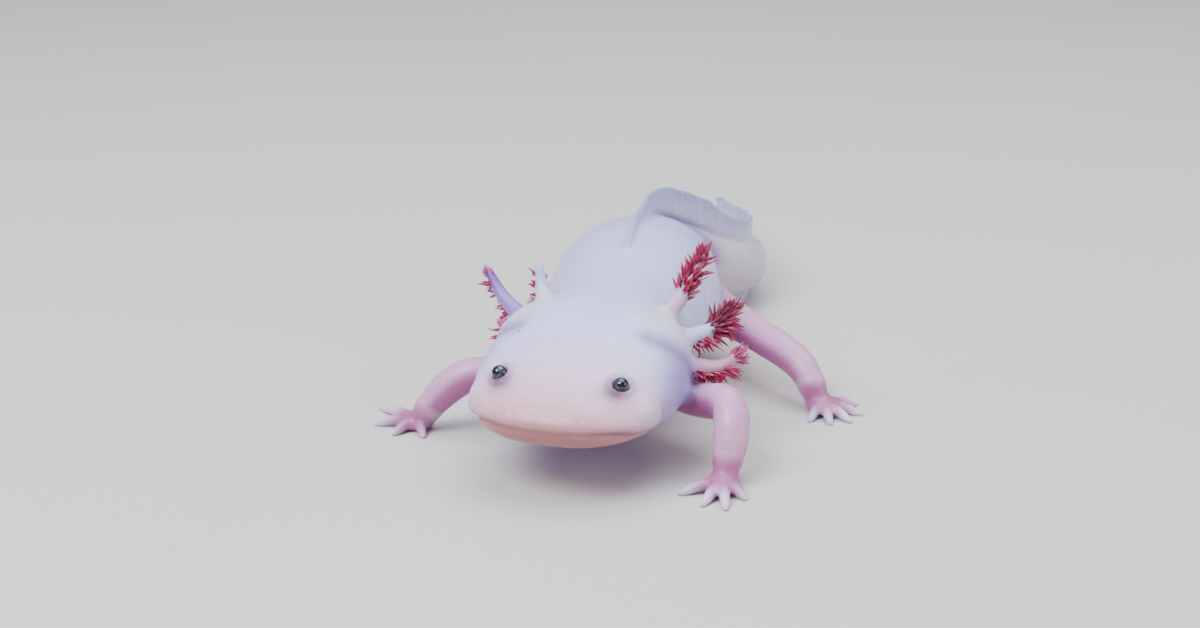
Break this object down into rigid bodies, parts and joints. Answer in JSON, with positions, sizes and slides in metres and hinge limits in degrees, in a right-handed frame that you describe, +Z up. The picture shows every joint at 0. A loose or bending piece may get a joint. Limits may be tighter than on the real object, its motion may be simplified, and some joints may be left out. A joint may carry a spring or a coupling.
{
  "type": "axolotl model",
  "caption": "Life-size still model of a pale axolotl standing on four feet, broad head raised, feathery gills, finned tail laid in an S on the floor.",
  "frame": {"origin": "on the floor, under the middle of the animal's bounding box", "axes": "+Z up; the animal faces -Y and its left side is +X; the body and tail run along Y"},
  "size_m": [0.1078, 0.2194, 0.0407],
  "materials": {
    "skin": "moist, smooth, translucent pale pink skin",
    "fin": "moist, thin, translucent grey-pink fin",
    "gill": "soft wet crimson filaments on pale stalks",
    "eye": "wet dark eye"
  },
  "bodies": {
    "root": {"head": "skin", "jaw": "skin", "neck": "skin", "trunk": "skin", "tail": "skin", "dorsal_fin": "fin", "ventral_fin": "fin", "eye_left": "eye", "eye_right": "eye", "foreleg_left": "skin", "forefoot_left": "skin", "foreleg_right": "skin", "forefoot_right": "skin", "hindleg_left": "skin", "hindfoot_left": "skin", "hindleg_right": "skin", "hindfoot_right": "skin", "gill_left_1": "gill", "gill_left_2": "gill", "gill_left_3": "gill", "gill_right_1": "gill", "gill_right_2": "gill", "gill_right_3": "gill"}
  },
  "joints": []
}
